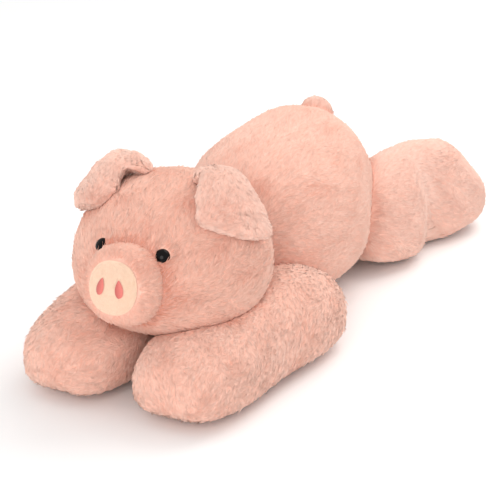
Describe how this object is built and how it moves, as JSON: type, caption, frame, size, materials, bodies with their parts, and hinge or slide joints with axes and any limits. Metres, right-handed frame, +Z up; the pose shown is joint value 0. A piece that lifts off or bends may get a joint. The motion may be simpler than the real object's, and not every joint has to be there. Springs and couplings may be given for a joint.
{
  "type": "plush pig",
  "caption": "Stuffed plush pig lying on its belly with its head on its forelegs: round head, short muzzle with a cream snout disc, drooping ears, bent hind legs and a tail ball",
  "frame": {"origin": "centre of the bounding box's bottom face, on the plane the toy lies on", "axes": "+Z up, -Y towards the snout, +X to the toy's own left; its length runs along Y"},
  "size_m": [0.3096, 0.6794, 0.2355],
  "materials": {
    "plush": "pink long-pile plush",
    "cream_pile": "cream short-pile plush",
    "embroidery": "coral satin stitch",
    "stuffing": "white polyester fibre",
    "eye_black": "polished black",
    "washer_white": "natural moulded"
  },
  "bodies": {
    "body": {"body_skin": "plush", "belly_panel": "plush", "body_stuffing": "stuffing"},
    "head": {"head_skin": "plush", "head_stuffing": "stuffing", "muzzle_skin": "plush", "muzzle_stuffing": "stuffing", "snout_disc": "cream_pile", "nostril_left": "embroidery", "nostril_right": "embroidery", "eye_left": "eye_black", "eye_right": "eye_black", "eye_washer_left": "washer_white", "eye_washer_right": "washer_white"},
    "ear_left": {"ear_outer_left": "plush", "ear_inner_left": "plush"},
    "ear_right": {"ear_outer_right": "plush", "ear_inner_right": "plush"},
    "foreleg_left": {"foreleg_skin_left": "plush", "foreleg_sole_left": "plush", "foreleg_stuffing_left": "stuffing"},
    "foreleg_right": {"foreleg_skin_right": "plush", "foreleg_sole_right": "plush", "foreleg_stuffing_right": "stuffing"},
    "hind_leg_left": {"hind_leg_skin_left": "plush", "hind_leg_sole_left": "plush", "hind_leg_stuffing_left": "stuffing"},
    "hind_leg_right": {"hind_leg_skin_right": "plush", "hind_leg_sole_right": "plush", "hind_leg_stuffing_right": "stuffing"},
    "tail": {"tail_skin": "plush", "tail_stuffing": "stuffing"}
  },
  "joints": [
    {"name": "head_lift", "type": "hinge", "parent": "body", "child": "head", "pos_m": [0, -0.09682, 0.14184], "axis": [-1, 0, 0], "range_deg": [0, 25]},
    {"name": "ear_left_lift", "type": "hinge", "parent": "head", "child": "ear_left", "pos_m": [0.02636, -0.19227, 0.21484], "axis": [-0.3696, -0.8988, 0.2356], "range_deg": [0, 40]},
    {"name": "ear_right_lift", "type": "hinge", "parent": "head", "child": "ear_right", "pos_m": [-0.02718, -0.19414, 0.21484], "axis": [-0.4313, 0.8709, -0.2356], "range_deg": [0, 40]},
    {"name": "foreleg_left_swing", "type": "hinge", "parent": "body", "child": "foreleg_left", "pos_m": [0.08961, -0.05, 0], "axis": [0, 0, 1], "range_deg": [0, 25]},
    {"name": "foreleg_right_swing", "type": "hinge", "parent": "body", "child": "foreleg_right", "pos_m": [-0.08961, -0.05, 0], "axis": [0, 0, -1], "range_deg": [0, 25]},
    {"name": "hind_leg_left_swing", "type": "hinge", "parent": "body", "child": "hind_leg_left", "pos_m": [0.09047, 0.097, 0], "axis": [0, 0, -1], "range_deg": [0, 25]},
    {"name": "hind_leg_right_swing", "type": "hinge", "parent": "body", "child": "hind_leg_right", "pos_m": [-0.09047, 0.097, 0], "axis": [0, 0, 1], "range_deg": [0, 25]},
    {"name": "tail_tip", "type": "hinge", "parent": "body", "child": "tail", "pos_m": [0, 0.1145, 0.19502], "axis": [1, 0, 0], "range_deg": [0, 35]}
  ]
}
